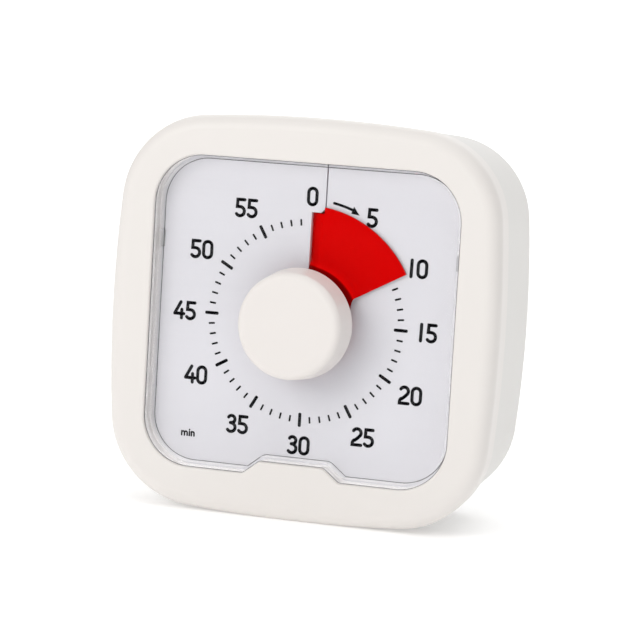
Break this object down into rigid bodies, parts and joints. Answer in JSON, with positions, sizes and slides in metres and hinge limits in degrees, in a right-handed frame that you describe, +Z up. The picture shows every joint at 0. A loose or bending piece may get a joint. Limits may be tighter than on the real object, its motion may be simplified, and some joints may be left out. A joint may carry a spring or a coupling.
{
  "type": "kitchen timer",
  "caption": "Square desk timer with a clear window over a sixty-minute dial, a round front knob and a red disc that fans out of a slot to show the minutes left.",
  "frame": {"origin": "under the middle of the whole timer, on the surface it stands on", "axes": "+X to the right seen from the front, +Y from the knob towards the back, +Z up"},
  "size_m": [0.0844, 0.0446, 0.0841],
  "materials": {
    "front_white": "satin moulded, fine even texture",
    "rear_white": "satin moulded, slightly cooler white",
    "clear_lens": "clear acrylic",
    "dial_grey": "smooth, printed in near black",
    "knob_white": "satin moulded",
    "red_sheet": "thin satin PVC sheet",
    "red_hub": "satin moulded",
    "steel": "turned or rolled steel",
    "spring_steel": "nickel-plated strip",
    "movement_black": "satin moulded",
    "gear_white": "acetal",
    "gear_amber": "acetal",
    "magnet": "sintered",
    "lamination": "stamped",
    "copper_wire": "enamelled copper winding",
    "bobbin": "nylon",
    "board_green": "solder mask",
    "epoxy_black": "potting blob",
    "part_black": "moulded",
    "battery_jacket": "printed film sleeve",
    "foot_rubber": "soft grey rubber"
  },
  "bodies": {
    "case": {"front_shell": "front_white", "rear_shell": "rear_white", "feet": "foot_rubber", "lens": "clear_lens", "dial_plate": "dial_grey", "disc_ramp_sheet": "red_sheet", "movement_base": "movement_black", "movement_lid": "movement_black", "stator": "lamination", "coil_bobbin": "bobbin", "coil_winding": "copper_wire", "alarm_contact": "spring_steel", "circuit_board": "board_green", "timer_chip": "epoxy_black", "quartz_crystal": "steel", "buzzer": "part_black", "switch_body": "part_black", "battery": "battery_jacket", "contact_plus": "spring_steel", "contact_minus": "spring_steel", "case_screws": "steel", "movement_screws": "steel", "board_screws": "steel"},
    "knob_set": {"knob": "knob_white", "knob_shaft": "steel", "disc_hub": "red_hub", "disc_rear_sheet": "red_sheet", "clutch_spring": "spring_steel", "alarm_cam": "gear_white"},
    "disc_middle": {"disc_middle_sheet": "red_sheet"},
    "disc_leading": {"disc_leading_sheet": "red_sheet"},
    "centre_wheel": {"centre_wheel": "gear_amber"},
    "third_wheel": {"third_wheel": "gear_white"},
    "seconds_wheel": {"seconds_wheel": "gear_white"},
    "fast_wheel": {"fast_wheel": "gear_white"},
    "rotor": {"rotor_pinion": "gear_white", "rotor_magnet": "magnet"},
    "switch": {"switch_slider": "part_black"},
    "door": {"battery_door": "rear_white"}
  },
  "joints": [
    {"name": "knob_turn", "type": "hinge", "parent": "case", "child": "knob_set", "pos_m": [0, -0.01035, 0.04165], "axis": [0, 1, 0], "range_deg": [-60, 300]},
    {"name": "disc_middle_turn", "type": "hinge", "parent": "case", "child": "disc_middle", "pos_m": [0, -0.01035, 0.04165], "axis": [0, 1, 0], "range_deg": [-30, 150], "deforming": ["disc_middle_sheet", "disc_ramp_sheet"]},
    {"name": "disc_leading_turn", "type": "hinge", "parent": "disc_middle", "child": "disc_leading", "pos_m": [0, -0.01035, 0.04165], "axis": [0, 1, 0], "range_deg": [-30, 150], "deforming": ["disc_leading_sheet"]},
    {"name": "seconds_wheel_turn", "type": "hinge", "parent": "case", "child": "seconds_wheel", "pos_m": [0.00473, -0.01035, 0.05727], "axis": [0, 1, 0], "continuous": true},
    {"name": "third_wheel_turn", "type": "hinge", "parent": "case", "child": "third_wheel", "pos_m": [0.00764, -0.01035, 0.04929], "axis": [0, 1, 0], "continuous": true},
    {"name": "centre_wheel_turn", "type": "hinge", "parent": "case", "child": "centre_wheel", "pos_m": [0, -0.01035, 0.04165], "axis": [0, 1, 0], "continuous": true},
    {"name": "fast_wheel_turn", "type": "hinge", "parent": "case", "child": "fast_wheel", "pos_m": [-0.00244, -0.01035, 0.05665], "axis": [0, 1, 0], "continuous": true},
    {"name": "rotor_turn", "type": "hinge", "parent": "case", "child": "rotor", "pos_m": [-0.00902, -0.01035, 0.05425], "axis": [0, 1, 0], "continuous": true},
    {"name": "switch_slide", "type": "slide", "parent": "case", "child": "switch", "axis": [1, 0, 0], "range_m": [0, 0.004]},
    {"name": "battery_door_turn", "type": "hinge", "parent": "case", "child": "door", "pos_m": [0, 0.02125, 0.02395], "axis": [1, 0, 0], "range_deg": [0, 100]}
  ],
  "couplings": [
    {"joint": "disc_middle_turn", "follows": "knob_turn", "ratio": 0.5},
    {"joint": "disc_leading_turn", "follows": "knob_turn", "ratio": 0.5},
    {"joint": "third_wheel_turn", "follows": "seconds_wheel_turn", "ratio": -0.13333},
    {"joint": "centre_wheel_turn", "follows": "seconds_wheel_turn", "ratio": 0.016667},
    {"joint": "fast_wheel_turn", "follows": "seconds_wheel_turn", "ratio": -5},
    {"joint": "rotor_turn", "follows": "seconds_wheel_turn", "ratio": 30}
  ]
}
